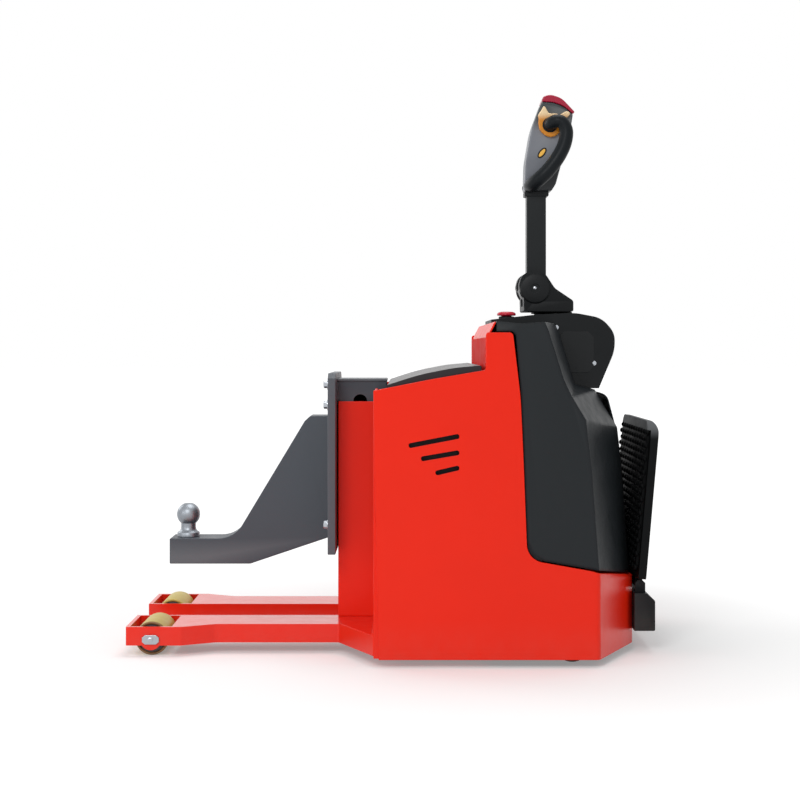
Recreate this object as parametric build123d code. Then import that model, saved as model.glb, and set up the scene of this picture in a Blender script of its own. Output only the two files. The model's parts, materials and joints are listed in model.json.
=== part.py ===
"""Electric tow tractor: stand-on tractor with a tiller, hitch plate, drawbar and folding platform.

Millimetres. +X towards the operator's end, +Y to the tractor's left, +Z up, floor at Z = 0.
The origin is the middle of the bounding box in plan. A row of an outline is X, Z and the radius of
that corner, and 0 is a sharp corner.
"""

from build123d import *
import math
import os
from typing import NamedTuple

os.makedirs("parts", exist_ok=True)

# Red bodywork, from the floor up
BODY_HALF_WIDTH = 410.0
SHEET = 6.0
SKIRT_BOTTOM = 18.0
FRONT_X = -44.5
REAR_X = 575.5
CORNER_X = 470.5
CORNER_HALF_WIDTH = 178.0
BEND_R = 14.0

# Axes of the joints
STEER_X = 372.5
PIVOT_X = 349.5
PIVOT_Z = 875.0
PLATFORM_HINGE_X = 591.0
PLATFORM_HINGE_Z = 160.0
PLATFORM_LEAN = 5.0
LID_HINGE_X = 199.0
LID_HINGE_Z = 682.0
RUNNING_FIT = 0.05
CLIP = 0.45
FLAT = 0.001

# Wheels
DRIVE_R = 115.0
DRIVE_HALF_WIDTH = 38.0
CASTOR_R = 45.0
CASTOR_SWIVEL_X = 382.0
CASTOR_Y = 318.0
CASTOR_TRAIL = 33.0
ROLLER_R = 40.0
ROLLER_X = -572.5
ROLLER_Y = 179.0


class Side(NamedTuple):
    """One side of the tractor, with the sign of its Y."""

    name: str
    sign: int


SIDES = (Side("right", -1), Side("left", 1))


def box(x0, x1, y0, y1, z0, z1):
    """Return a box between two corners, with the Y values in either order."""
    centre = Pos((x0 + x1) / 2, (y0 + y1) / 2, (z0 + z1) / 2)
    return centre * Box(x1 - x0, abs(y1 - y0), z1 - z0)


def outline(rows):
    """Return a face in the XZ plane from rows of X, Z and corner radius."""
    points = [(x, z) for x, z, _ in rows]
    return Plane.XZ * make_face(FilletPolyline(*points, radius=[r for _, _, r in rows], close=True))


def across(rows, y0, y1):
    """Return an XZ outline carried along Y from y0 to y1."""
    low, high = sorted((y0, y1))
    return extrude(Pos(0, low, 0) * outline(rows), amount=high - low, dir=(0, 1, 0))


def upright(rows, z0, z1):
    """Return a plan outline, rows of X, Y and corner radius, carried from z0 to z1."""
    points = [(x, y) for x, y, _ in rows]
    face = make_face(FilletPolyline(*points, radius=[r for _, _, r in rows], close=True))
    return extrude(Pos(0, 0, z0) * face, amount=z1 - z0, dir=(0, 0, 1))


def facing(rows, x0, x1):
    """Return an outline in rows of Y, Z and corner radius, carried along X from x0 to x1."""
    points = [(y, z) for y, z, _ in rows]
    face = Plane.YZ * make_face(FilletPolyline(*points, radius=[r for _, _, r in rows], close=True))
    return extrude(Pos(x0, 0, 0) * face, amount=x1 - x0, dir=(1, 0, 0))


def disc_y(x, z, radius, y0, y1):
    """Return a cylinder along Y."""
    return Pos(x, (y0 + y1) / 2, z) * Rot(90, 0, 0) * Cylinder(radius, abs(y1 - y0))


def disc_z(x, y, radius, z0, z1):
    """Return a cylinder along Z."""
    return Pos(x, y, (z0 + z1) / 2) * Cylinder(radius, z1 - z0)


def facets(a, b, c, d):
    """Return the flat face of four corners, or two faces where the corners don't lie in a plane."""
    normal = (b - a).cross(c - a).normalized()
    rings = [(a, b, c, d)] if abs((d - a).dot(normal)) < FLAT else [(a, b, c), (a, c, d)]
    return [Face(Wire.make_polygon(ring, close=True)) for ring in rings]


def faceted(sections):
    """Return a solid with flat facets, lofted through flat sections of equal point counts."""
    faces = [Face(Wire.make_polygon(ring, close=True)) for ring in (sections[0], sections[-1])]
    for low, high in zip(sections, sections[1:]):
        for i in range(len(low)):
            j = (i + 1) % len(low)
            faces += facets(low[i], low[j], high[j], high[i])
    return Solid(Shell(faces))


def faceted_round(x, y, rows, sides):
    """Return a many-sided form about a Z axis, lofted through rows of radius and Z."""
    turns = [2 * math.pi * i / sides for i in range(sides)]
    return faceted([[Vector(x + radius * math.cos(a), y + radius * math.sin(a), z) for a in turns]
                    for radius, z in rows])


def faceted_bar(path, radius, sides, bend_steps):
    """Return a many-sided bar along a path of lines and arcs, mitred at every step of a bend."""
    points = [path.edges()[0] @ 0]
    for edge in path.edges():
        steps = 1 if edge.geom_type == GeomType.LINE else bend_steps
        points += [edge @ (k / steps) for k in range(1, steps + 1)]
    ways = [(b - a).normalized() for a, b in zip(points, points[1:])]
    start = Plane(origin=points[0], z_dir=ways[0])
    turns = [2 * math.pi * i / sides for i in range(sides)]
    ring = [start.from_local_coords(Vector(radius * math.cos(a), radius * math.sin(a), 0))
            for a in turns]
    sections = [ring]
    for i, way in enumerate(ways):
        mitre = way + ways[min(i + 1, len(ways) - 1)]
        ring = [spot + way * ((points[i + 1] - spot).dot(mitre) / way.dot(mitre)) for spot in ring]
        sections.append(ring)
    return faceted(sections)


def slot(x0, z0, x1, z1, radius, y0, y1):
    """Return a narrow bar with clipped ends between two centres in the XZ plane."""
    length = math.hypot(x1 - x0, z1 - z0)
    ux = (x1 - x0) / length * radius
    uz = (z1 - z0) / length * radius
    ends = []
    for x, z, sign in ((x0, z0, -1), (x1, z1, 1)):
        for out, up in ((CLIP, sign), (1, CLIP * sign), (1, -CLIP * sign), (CLIP, -sign)):
            ends.append((x + sign * out * ux - up * uz, z + sign * out * uz + up * ux, 0))
    return across(ends, y0, y1)


def flipped(solid, sign):
    """Return the solid, mirrored to the other side for a negative sign."""
    return mirror(solid, about=Plane.XZ) if sign < 0 else solid


def inset(rows, distances):
    """Return an outline with each edge moved inwards by its own distance, and its radii to suit."""
    count = len(rows)
    area = sum(rows[i][0] * rows[(i + 1) % count][1] - rows[(i + 1) % count][0] * rows[i][1]
               for i in range(count))
    turn = 1.0 if area > 0 else -1.0
    lines = []
    for i in range(count):
        ax, az, _ = rows[i]
        bx, bz, _ = rows[(i + 1) % count]
        length = math.hypot(bx - ax, bz - az)
        nx = -turn * (bz - az) / length
        nz = turn * (bx - ax) / length
        lines.append((ax + nx * distances[i], az + nz * distances[i], bx - ax, bz - az))
    moved = []
    for i in range(count):
        px, pz, ux, uz = lines[i - 1]
        qx, qz, vx, vz = lines[i]
        cross = ux * vz - uz * vx
        along = ((qx - px) * vz - (qz - pz) * vx) / cross
        outer = rows[i][2]
        inner = outer - math.copysign(distances[i], cross * turn) if outer else 0.0
        moved.append((px + ux * along, pz + uz * along, max(inner, 0.0)))
    return moved


def save(name, solid):
    """Write one node's STEP file."""
    export_step(solid, os.path.join("parts", name + ".step"))


# The seam between the red panel and the dark side cover, from top to bottom
SEAM = [(273.0, 763.0, 9.0), (290.5, 616.0, 600.0), (296.5, 489.0, 600.0), (306.0, 246.0, 42.0),
        (454.5, 219.5, 0.0)]
SEAM_GAP = 1.5
SKIRT_REAR_Z = 181.0

# Louvre slots: X and Z of both ends
SLOT_R = 5.5
SLOTS = ((41.5, 506.0, 145.5, 526.0), (69.5, 476.0, 145.5, 489.0), (102.5, 444.0, 145.5, 454.0))

PANEL_TOP = [(211.5, 763.0, 6.0), (211.5, 677.5, 8.0), (90.0, 657.0, 1500.0), (FRONT_X, 630.5, 0.0)]


def side_panel(sign):
    """Return a red side panel: one sheet, bent round the rear corner and returned behind it."""
    plan = [(FRONT_X - 20, BODY_HALF_WIDTH, 0), (CORNER_X, BODY_HALF_WIDTH, BEND_R),
            (REAR_X, CORNER_HALF_WIDTH, BEND_R), (REAR_X, 152.0, 0), (REAR_X - SHEET, 152.0, 0)]
    inner = inset(plan[:4] + [(FRONT_X - 20, 152.0, 0)], [SHEET, SHEET, SHEET, 0, 0])
    plan += [inner[2], inner[1], (FRONT_X - 20, BODY_HALF_WIDTH - SHEET, 0)]
    sheet = upright(plan, 0, 800)
    side = [(-32.5, SKIRT_BOTTOM, 0), (REAR_X + 1, SKIRT_BOTTOM, 0), (REAR_X + 1, SKIRT_REAR_Z, 0)]
    side += list(reversed(SEAM)) + PANEL_TOP
    panel = sheet & across(side, 100, BODY_HALF_WIDTH + 1)
    for x0, z0, x1, z1 in SLOTS:
        panel = panel - slot(x0, z0, x1, z1, SLOT_R, BODY_HALF_WIDTH - 10, BODY_HALF_WIDTH + 5)
    return flipped(panel, sign)


for side in SIDES:
    save("side_panel_" + side.name, side_panel(side.sign))

# Rear skirt between the returned edges of the side panels
save("rear_skirt", box(REAR_X - SHEET, REAR_X, -151.5, 151.5, SKIRT_BOTTOM, SKIRT_REAR_Z))

# Front wall, open in the middle behind the post
POST_HALF_WIDTH = 108.0
WALL_HALF_WIDTH = BODY_HALF_WIDTH - SHEET - 0.5
WALL_TOP = 629.0
GAP_HALF_WIDTH = POST_HALF_WIDTH + 4.0
front_wall = facing([(-WALL_HALF_WIDTH, 20, 0), (WALL_HALF_WIDTH, 20, 0),
                     (WALL_HALF_WIDTH, WALL_TOP, 0), (GAP_HALF_WIDTH, WALL_TOP, 0),
                     (GAP_HALF_WIDTH, 290, 20), (-GAP_HALF_WIDTH, 290, 20),
                     (-GAP_HALF_WIDTH, WALL_TOP, 0), (-WALL_HALF_WIDTH, WALL_TOP, 0)],
                    FRONT_X, FRONT_X + SHEET)
save("front_wall", front_wall)

# Battery bay: floor and bulkhead in one welded piece, with the battery as a plain block
BAY_FRONT_X = FRONT_X + SHEET + 0.5
BULKHEAD_X = 211.0
BULKHEAD_T = 4.0
bay = box(BAY_FRONT_X, BULKHEAD_X + BULKHEAD_T, -400, 400, 26, 34)
bay = bay + box(BULKHEAD_X, BULKHEAD_X + BULKHEAD_T, -400, 400, 34, 752)
HINGE_HALF_LENGTH = 150.0
for end in (-1, 1):
    bay = bay + box(LID_HINGE_X - 5, BULKHEAD_X, end * (HINGE_HALF_LENGTH + 4),
                    end * (HINGE_HALF_LENGTH + 12), LID_HINGE_Z - 5, LID_HINGE_Z + 5)
save("battery_bay", bay)
save("battery", box(-8, 204, -390, 390, 35, 612))

# Dash fascia above the lid, leaning back at the top
fascia = across([(BULKHEAD_X + 4, 640, 0), (BULKHEAD_X + 4, 756, 14), (232, 788, 0), (235.5, 786, 0),
                 (BULKHEAD_X + 8, 754.5, 10), (BULKHEAD_X + 8, 640, 0)], -403, 403)
save("dash_fascia", fascia)

# Drive deck with the castor brackets welded under it
DECK_Z = 262.0
DECK_T = 10.0
DECK_HOLE_R = 132.0
deck = upright([(215.5, -396, 0), (436, -396, 0), (540, -165, 0), (540, 165, 0), (436, 396, 0),
                (215.5, 396, 0)], DECK_Z, DECK_Z + DECK_T)
deck = deck - disc_z(STEER_X, 0, DECK_HOLE_R, DECK_Z - 1, DECK_Z + DECK_T + 1)
CASTOR_PLATE_Z = 117.0
CASTOR_BRACKET = [(262.0, DECK_Z, 0), (262.0, CASTOR_PLATE_Z, 0), (396.0, CASTOR_PLATE_Z, 0),
                  (396.0, CASTOR_PLATE_Z + 10, 0), (272.0, CASTOR_PLATE_Z + 10, 0), (272.0, DECK_Z, 0)]
for side in SIDES:
    bracket = facing(CASTOR_BRACKET, 305, 452)
    bracket = bracket + box(374, 384, 268, 396, 124, DECK_Z)
    deck = deck + flipped(bracket, side.sign)
save("drive_deck", deck)

# Straddle legs: pressed channels, open below, with a roller bay at the tip
LEG_TOP = 70.0
LEG_BOTTOM = 26.0
LEG_TIP_X = -631.5
LEG_ROOT_X = -45.0
LEG_INNER = 90.0
LEG_OUTER = 225.0
TIP_OUTER = 268.0
BAY_X0 = -622.0
BAY_X1 = -523.5
RAIL = 9.0
AXLE_R = 10.0
LEG_WALL = 6.0
LEG_PLAN = [(LEG_TIP_X, LEG_INNER, 0), (LEG_TIP_X, TIP_OUTER, 4), (-501.5, TIP_OUTER, 12),
            (-423.5, LEG_OUTER, 30), (-129.5, LEG_OUTER, 10), (LEG_ROOT_X, 402.0, 0),
            (LEG_ROOT_X, LEG_INNER, 0)]


def leg(sign):
    """Return one straddle leg with its roller bay, axle lobes and corner gusset."""
    solid = upright(LEG_PLAN, LEG_BOTTOM, LEG_TOP)
    pocket = [(-505.0, LEG_INNER + LEG_WALL, 0), (-505.0, 240.0, 0), (-428.0, LEG_OUTER - LEG_WALL, 0),
              (-133.0, LEG_OUTER - LEG_WALL, 0), (-56.0, 380.0, 0), (-56.0, LEG_INNER + LEG_WALL, 0)]
    solid = solid - upright(pocket, LEG_BOTTOM - 1, LEG_TOP - LEG_WALL)
    for rib_x in (-400.0, -290.0, -180.0):
        solid = solid + box(rib_x - 3, rib_x + 3, LEG_INNER + 2, LEG_OUTER - 2, 40, LEG_TOP - 2)
    for y0, y1 in ((LEG_INNER, LEG_INNER + RAIL), (TIP_OUTER - RAIL, TIP_OUTER)):
        solid = solid + disc_y(ROLLER_X, ROLLER_R, 25, y0, y1)
    solid = solid - box(BAY_X0, BAY_X1, LEG_INNER + RAIL, TIP_OUTER - RAIL, 0, LEG_TOP + 1)
    return flipped(solid, sign)


for side in SIDES:
    save("leg_" + side.name, leg(side.sign))

# Front post: a U of folded plate on a box between the legs
POST_TOP = 597.0
POST_FRONT_X = -136.5
post = box(POST_FRONT_X, LEG_ROOT_X, -POST_HALF_WIDTH, POST_HALF_WIDTH, LEG_TOP, POST_TOP)
post = post - box(POST_FRONT_X + SHEET, LEG_ROOT_X + 1, -POST_HALF_WIDTH + SHEET,
                  POST_HALF_WIDTH - SHEET, LEG_TOP + SHEET, POST_TOP + 1)
post = post + box(POST_FRONT_X, LEG_ROOT_X, -LEG_INNER, LEG_INNER, LEG_BOTTOM, LEG_TOP)
save("front_post", post)

# Saddle box that carries the hitch plate, standing out of the post
PLATE_X0 = -158.5
PLATE_X1 = -139.5
SADDLE_TOP = 646.0
SADDLE_HOLE_R = 17.0
saddle = across([(-130, 320, 0), (-18, 320, 0), (-18, SADDLE_TOP, 0), (PLATE_X1, SADDLE_TOP, 0),
                 (PLATE_X1, 598, 0), (-130, 598, 0)], -100, 100)
saddle = saddle - box(-124, -10, -94, 94, 310, SADDLE_TOP - SHEET)
saddle = saddle + box(PLATE_X1, -17, -103, 103, SADDLE_TOP, SADDLE_TOP + SHEET)
HOLE_SIDES = 16
turns = [2 * math.pi * i / HOLE_SIDES for i in range(HOLE_SIDES)]
hole = [(-82.5 + SADDLE_HOLE_R * math.cos(a), 597 + SADDLE_HOLE_R * math.sin(a), 0) for a in turns]
saddle = saddle - across(hole, -110, 110)
save("saddle_box", saddle)

# Hitch plate
save("hitch_plate", facing([(-195, 231, 0), (195, 231, 0), (195, 655, 0), (170, 667, 0),
                            (-170, 667, 0), (-195, 655, 0)], PLATE_X0, PLATE_X1))

# Drawbar, welded to the plate
DRAWBAR_HALF_WIDTH = 50.0
DRAWBAR = [(-558.5, 254, 3), (-558.5, 191, 3), (-357.5, 191, 20), (-164.5, 256, 6),
           (PLATE_X0, 262, 0), (PLATE_X0, 559, 0), (-208.5, 559, 0), (-222.5, 546, 8),
           (-398.0, 254, 70)]
save("drawbar", across(DRAWBAR, -DRAWBAR_HALF_WIDTH, DRAWBAR_HALF_WIDTH))

# Tow ball on its neck and flange, turned from rows of radius and Z
BALL_X = -517.5
BALL_Z = 310.0
BALL_R = 29.0
BALL_SIDES = 24
BALL_STEPS = 8
NECK_R = 19.0
FLANGE_R = 28.0


def tow_ball():
    """Return the ball, neck and flange as one round piece."""
    low = math.pi - math.asin(NECK_R / BALL_R)
    high = math.radians(20)
    angles = [low + (high - low) * i / BALL_STEPS for i in range(BALL_STEPS + 1)]
    rows = [(FLANGE_R, 254), (FLANGE_R, 265), (NECK_R, 270)]
    rows += [(BALL_R * math.sin(a), BALL_Z + BALL_R * math.cos(a)) for a in angles]
    return faceted_round(BALL_X, 0, rows, BALL_SIDES)


save("tow_ball", tow_ball())

# Battery lid: crowned sheet with turned-down edges and a long hinge knuckle in its notch
LID_FRONT_X = -14.0
LID_REAR_X = 202.0
LID_SHEET = 4.0
LID_HALF_WIDTH = 399.0
LID_CROWN = [(LID_FRONT_X, 634, 0), (LID_FRONT_X, 643, 5), (60, 667, 500), (140, 682.5, 300),
             (LID_REAR_X, 688, 3), (LID_REAR_X, 674, 0)]
LID_EDGES = [LID_SHEET] * 5 + [-30.0]
KNUCKLE_R = 6.0
NOTCH_X = 190.0
lid = across(LID_CROWN, -LID_HALF_WIDTH, LID_HALF_WIDTH)
lid = lid - across(inset(LID_CROWN, LID_EDGES), -LID_HALF_WIDTH + LID_SHEET,
                   LID_HALF_WIDTH - LID_SHEET)
lid = lid - box(NOTCH_X, LID_REAR_X + 1, -HINGE_HALF_LENGTH - 17, HINGE_HALF_LENGTH + 17, 660, 700)
lid = lid + box(NOTCH_X - 4, LID_HINGE_X, -HINGE_HALF_LENGTH, HINGE_HALF_LENGTH, LID_HINGE_Z - 1,
                LID_HINGE_Z + 4)
lid = lid + disc_y(LID_HINGE_X, LID_HINGE_Z, KNUCKLE_R, -HINGE_HALF_LENGTH, HINGE_HALF_LENGTH)
save("battery_lid", lid)

# Dark side covers, lofted from the side plane to the console
COVER_Y = 407.0
CONSOLE_HALF_WIDTH = 150.0
COVER_WALL = 4.0
NOSE = [(236.0, 765.5), (271.5, 765.5), (279.5, 757.0)]
SEAM_SIDE = [(292.0, 617.5), (298.0, 490.0), (305.8, 285.0), (320.0, 256.0), (345.0, 242.0)]
CREASE = [(468.7, 221.0), (452.0, 450.0), (438.5, 564.0), (407.5, 616.0), (388.5, 657.0),
          (354.5, 766.0), (345.5, 787.0), (290.0, 783.5), (236.0, 789.0)]
SHOULDER = [(572.0, 183.0), (552.5, 450.0), (542.3, 536.0), (488.0, 627.1), (440.0, 641.0),
            (401.0, 766.0), (392.0, 787.0), (290.0, 780.6), (236.0, 786.1)]


def at_depth(points, y):
    """Return the corners of an XZ outline at depth y."""
    return [Vector(x, y, z) for x, z in points]


def inset_points(points, distances):
    """Return sharp-cornered points with each edge moved inwards."""
    return [(x, z) for x, z, _ in inset([(x, z, 0) for x, z in points], distances)]


def side_cover(sign):
    """Return one hollow side cover, open towards the front and the console."""
    outer = NOSE + SEAM_SIDE + CREASE
    inner = NOSE + SEAM_SIDE + SHOULDER
    open_edges = [-3.0] * (len(NOSE) + len(SEAM_SIDE))
    distances = open_edges + [COVER_WALL] * (len(CREASE) - 1) + [-3.0]
    solid = faceted([at_depth(outer, COVER_Y), at_depth(inner, CONSOLE_HALF_WIDTH + 2)])
    hollow = faceted([at_depth(inset_points(outer, distances), COVER_Y - COVER_WALL),
                      at_depth(inset_points(inner, distances), CONSOLE_HALF_WIDTH + 1)])
    return flipped(solid - hollow, sign)


for side in SIDES:
    save("side_cover_" + side.name, side_cover(side.sign))

# Centre rear cover below the console, a bent panel
REAR_LINE = [(572.0, 183.0, 0), (552.5, 450.0, 400), (539.5, 536.0, 120), (519.0, 614.0, 26),
             (440.0, 640.0, 0), (440.0, 183.0, 0)]
rear_cover = across(REAR_LINE, -CONSOLE_HALF_WIDTH, CONSOLE_HALF_WIDTH)
rear_cover = rear_cover - across(inset(REAR_LINE, [COVER_WALL] * 4 + [-5.0, -5.0]),
                                 -CONSOLE_HALF_WIDTH - 1, CONSOLE_HALF_WIDTH + 1)
rear_cover = rear_cover - box(430, 497, -160, 160, 600, 660)
save("rear_cover", rear_cover)

# D-shaped console
COLUMN_R = 20.0
STOP_X = 275.5
STOP_Y = -120.0
CONSOLE = [(237, 797, 0), (345, 809, 300), (440, 813.5, 150), (505, 801, 60), (537, 765, 50),
           (537, 722, 100), (498.5, 630, 0), (237, 630, 0)]
console = across(CONSOLE, -CONSOLE_HALF_WIDTH, CONSOLE_HALF_WIDTH)
console = console - across(inset(CONSOLE, [COVER_WALL] * 6 + [-3.0, COVER_WALL]),
                           -CONSOLE_HALF_WIDTH + COVER_WALL, CONSOLE_HALF_WIDTH - COVER_WALL)
console = console - box(STEER_X - 30, STEER_X + 30, -30, 30, 780, 830)
save("console", console)

# Emergency stop button, turned
STOP_SIDES = 24
stop = [(12.5, 804), (12.5, 807), (22.5, 807.5), (23, 809.5), (21.5, 813.5), (16, 816.3), (8, 817)]
save("stop_button", faceted_round(STOP_X, STOP_Y, stop, STOP_SIDES))

# Drive unit: turret with gearbox leg, motor, column, wheel
TURRET_R = 120.0
GEAR_Y0 = 46.0
GEAR_Y1 = 84.0
unit = disc_z(STEER_X, 0, TURRET_R, 250, 292)
unit = unit + across([(STEER_X - 62, 256, 0), (STEER_X - 62, 96, 0), (STEER_X - 34, 64, 0),
                      (STEER_X + 34, 64, 0), (STEER_X + 62, 96, 0), (STEER_X + 62, 256, 0)],
                     GEAR_Y0, GEAR_Y1)
save("drive_gearbox", unit)
save("drive_motor", disc_z(STEER_X, 0, 80, 292, 500))
save("steering_column", disc_z(STEER_X, 0, COLUMN_R, 500, 818.6))
TYRE_INNER_R = 82.0
HUB_FACE = 30.0
SHAFT_R = 30.0
tyre = disc_y(STEER_X, DRIVE_R, DRIVE_R, -DRIVE_HALF_WIDTH, DRIVE_HALF_WIDTH)
save("drive_tyre", tyre - disc_y(STEER_X, DRIVE_R, TYRE_INNER_R, -50, 50))
hub = disc_y(STEER_X, DRIVE_R, TYRE_INNER_R - 0.05, -HUB_FACE, HUB_FACE)
save("drive_hub", hub + disc_y(STEER_X, DRIVE_R, SHAFT_R, HUB_FACE, GEAR_Y0 - 0.5))

# Castors: bent fork with its swivel head, and the wheel between its cheeks
FORK_INNER = 19.0
FORK_OUTER = 24.0
WHEEL_HALF_WIDTH = 16.0
for side in SIDES:
    y = side.sign * CASTOR_Y
    wheel_x = CASTOR_SWIVEL_X + CASTOR_TRAIL
    fork = box(CASTOR_SWIVEL_X - 26, wheel_x + 14, y - FORK_OUTER, y + FORK_OUTER, 96, 102)
    for inner, outer in ((-FORK_INNER, -FORK_OUTER), (FORK_INNER, FORK_OUTER)):
        cheek = [(CASTOR_SWIVEL_X - 14, 98, 0), (wheel_x - 12, 38, 0), (wheel_x - 6, 33, 0),
                 (wheel_x + 6, 33, 0), (wheel_x + 12, 38, 0), (wheel_x + 14, 98, 0)]
        fork = fork + across(cheek, y + inner, y + outer)
    fork = fork + disc_z(CASTOR_SWIVEL_X, y, 22, 100, 112)
    save("castor_fork_" + side.name, fork)
    wheel = disc_y(wheel_x, CASTOR_R, CASTOR_R, y - WHEEL_HALF_WIDTH, y + WHEEL_HALF_WIDTH)
    save("castor_wheel_" + side.name, wheel)

# Load rollers on their axles between the rails, and the axle plates outside
ROLLER_HALF_WIDTH = 74.0
AXLE_PLATE = ((-20.0, 5.0), (-13.0, 11.0), (13.0, 11.0), (20.0, 5.0), (20.0, -5.0), (13.0, -11.0),
              (-13.0, -11.0), (-20.0, -5.0))
axles = []
for side in SIDES:
    y = side.sign * ROLLER_Y
    roller = disc_y(ROLLER_X, ROLLER_R, ROLLER_R, y - ROLLER_HALF_WIDTH, y + ROLLER_HALF_WIDTH)
    bore = disc_y(ROLLER_X, ROLLER_R, AXLE_R, y - 80, y + 80)
    save("load_roller_" + side.name, roller - bore)
    axles.append(disc_y(ROLLER_X, ROLLER_R, AXLE_R - RUNNING_FIT, side.sign * (LEG_INNER + RAIL),
                        side.sign * (TIP_OUTER - RAIL)))
    plate = [(ROLLER_X + x, ROLLER_R + z, 0) for x, z in AXLE_PLATE]
    axles.append(across(plate, side.sign * TIP_OUTER, side.sign * (TIP_OUTER + 4)))
save("roller_axles", Compound(children=axles))

# Tiller bracket: a yoke with rounded cheeks
BRACKET_HALF_WIDTH = 76.0
YOKE_GAP = 31.0
PIN_R = 12.0
BRACKET = [(322, 818.6, 4), (321, 862, 20), (308, 876, 20), (318, 916, 26), (372, 916, 26),
           (398, 876, 30), (444, 845, 10), (444, 818.6, 4)]
BOSS_R = 33.0
BOSS_SIDES = 24
BOSS_T = 4.0
bracket = across(BRACKET, -BRACKET_HALF_WIDTH, BRACKET_HALF_WIDTH)
turns = [2 * math.pi * i / BOSS_SIDES for i in range(BOSS_SIDES)]
boss = [(PIVOT_X + BOSS_R * math.cos(a), PIVOT_Z + BOSS_R * math.sin(a), 0) for a in turns]
bracket = bracket + across(boss, -BRACKET_HALF_WIDTH - BOSS_T, BRACKET_HALF_WIDTH + BOSS_T)
save("tiller_bracket", bracket - box(290, 460, -YOKE_GAP, YOKE_GAP, 832, 940))
save("pivot_pin", disc_y(PIVOT_X, PIVOT_Z, PIN_R, -YOKE_GAP, YOKE_GAP))

# Tiller arm: a square tube on a round hub
ARM_X0 = 332.5
ARM_X1 = 380.5
ARM_HALF = 24.0
HUB_R = 36.0
HEAD_Z = 1121.0
arm = box(ARM_X0, ARM_X1, -ARM_HALF, ARM_HALF, PIVOT_Z, HEAD_Z)
arm = arm + disc_y(PIVOT_X, PIVOT_Z, HUB_R, -26, 26)
arm = arm - disc_y(PIVOT_X, PIVOT_Z, PIN_R + RUNNING_FIT, -40, 40)
save("tiller_arm", arm)
collar = box(327, 387, -29, 29, 1108, HEAD_Z)
collar = collar - box(ARM_X0 - 0.3, ARM_X1 + 0.3, -24.3, 24.3, 1100, 1130)
save("tiller_collar", collar)

# Tiller head: side profile cut to a front profile that widens upwards
HEAD = [(325.5, HEAD_Z, 0), (328, 1190, 160), (342, 1272, 200), (368, 1341, 4), (398, 1339, 60),
        (424, 1329, 60), (446, 1310, 4), (441, 1276, 30), (404.5, 1138, 30), (394, HEAD_Z, 0)]
CAP_TOP = 1361.0
HEAD_FRONT = [(-31, HEAD_Z, 0), (-45, 1205, 60), (-45, 1345, 0), (45, 1345, 0), (45, 1205, 60),
              (31, HEAD_Z, 0)]
head = across(HEAD, -60, 60) & facing(HEAD_FRONT, 300, 470)
save("tiller_head", head)
CAP = [(368, 1342.5, 0), (372, 1355, 8), (389, CAP_TOP, 30), (418, 1352, 50), (451, 1317, 3),
       (446.5, 1311.5, 0), (424, 1331, 60), (398, 1341, 60)]
save("head_cap", across(CAP, -43, 43))

# Throttle: a disc with two wings on each side of the head
THROTTLE_X = 384.0
THROTTLE_Z = 1281.0
THROTTLE_R = 33.0
THROTTLE_OUT = 57.0
WINGS = ((371.0, 1326.0, 9.0), (424.0, 1310.0, 8.0))
throttle = disc_y(THROTTLE_X, THROTTLE_Z, THROTTLE_R, 45.5, THROTTLE_OUT)
for x, z, radius in WINGS:
    throttle = throttle + slot(THROTTLE_X, THROTTLE_Z, x, z, radius, 45.5, THROTTLE_OUT)
save("throttle_wings", Compound(children=[flipped(throttle, side.sign) for side in SIDES]))

# Grip loops: a bar that leaves the throttle, bends over and comes back to the foot of the head
GRIP_R = 16.5
GRIP_SIDES = 12
GRIP_STEPS = 4
GRIP_Y = 81.5
LOOP = [(THROTTLE_X, THROTTLE_OUT, THROTTLE_Z), (THROTTLE_X, GRIP_Y, THROTTLE_Z),
        (429, GRIP_Y, 1296), (424, GRIP_Y, 1217), (350, GRIP_Y, 1139), (338, 20, 1139)]
LOOP_RADII = [18, 18, 90, 26]
path = FilletPolyline(*LOOP, radius=LOOP_RADII)
grip = faceted_bar(path, GRIP_R, GRIP_SIDES, GRIP_STEPS) - head
save("tiller_grips", Compound(children=[flipped(grip, side.sign) for side in SIDES]))

# Folding platform, drawn upright at the hinge and then leant back
PLATFORM_HALF_WIDTH = 235.0
PLATFORM_TOP = 394.0
PLATFORM_FOOT = 17.0
PLATFORM_OUT = 8.5
PLATFORM_IN = -10.0
MAT_IN = -18.5
KNUCKLE_HALF_LENGTH = 188.0
EARS = (-201.0, 201.0)
seat = Pos(PLATFORM_HINGE_X, 0, PLATFORM_HINGE_Z) * Rot(0, PLATFORM_LEAN, 0)
tray = facing([(-PLATFORM_HALF_WIDTH, PLATFORM_FOOT, 8), (PLATFORM_HALF_WIDTH, PLATFORM_FOOT, 8),
               (PLATFORM_HALF_WIDTH, PLATFORM_TOP, 45), (-PLATFORM_HALF_WIDTH, PLATFORM_TOP, 45)],
              -30, 20)
tray = tray & across([(PLATFORM_IN, 0, 0), (PLATFORM_OUT, 0, 0), (PLATFORM_OUT, PLATFORM_TOP, 34),
                      (MAT_IN, PLATFORM_TOP + 6, 6), (MAT_IN, PLATFORM_TOP - 22, 0),
                      (PLATFORM_IN, PLATFORM_TOP - 22, 0)],
                     -PLATFORM_HALF_WIDTH, PLATFORM_HALF_WIDTH)
tray = tray + disc_y(0, 0, 11, -KNUCKLE_HALF_LENGTH, KNUCKLE_HALF_LENGTH)
tray = tray + box(PLATFORM_IN, PLATFORM_OUT - 2, -KNUCKLE_HALF_LENGTH, KNUCKLE_HALF_LENGTH, 0,
                  PLATFORM_FOOT + 2)
save("platform_tray", seat * tray)
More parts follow.
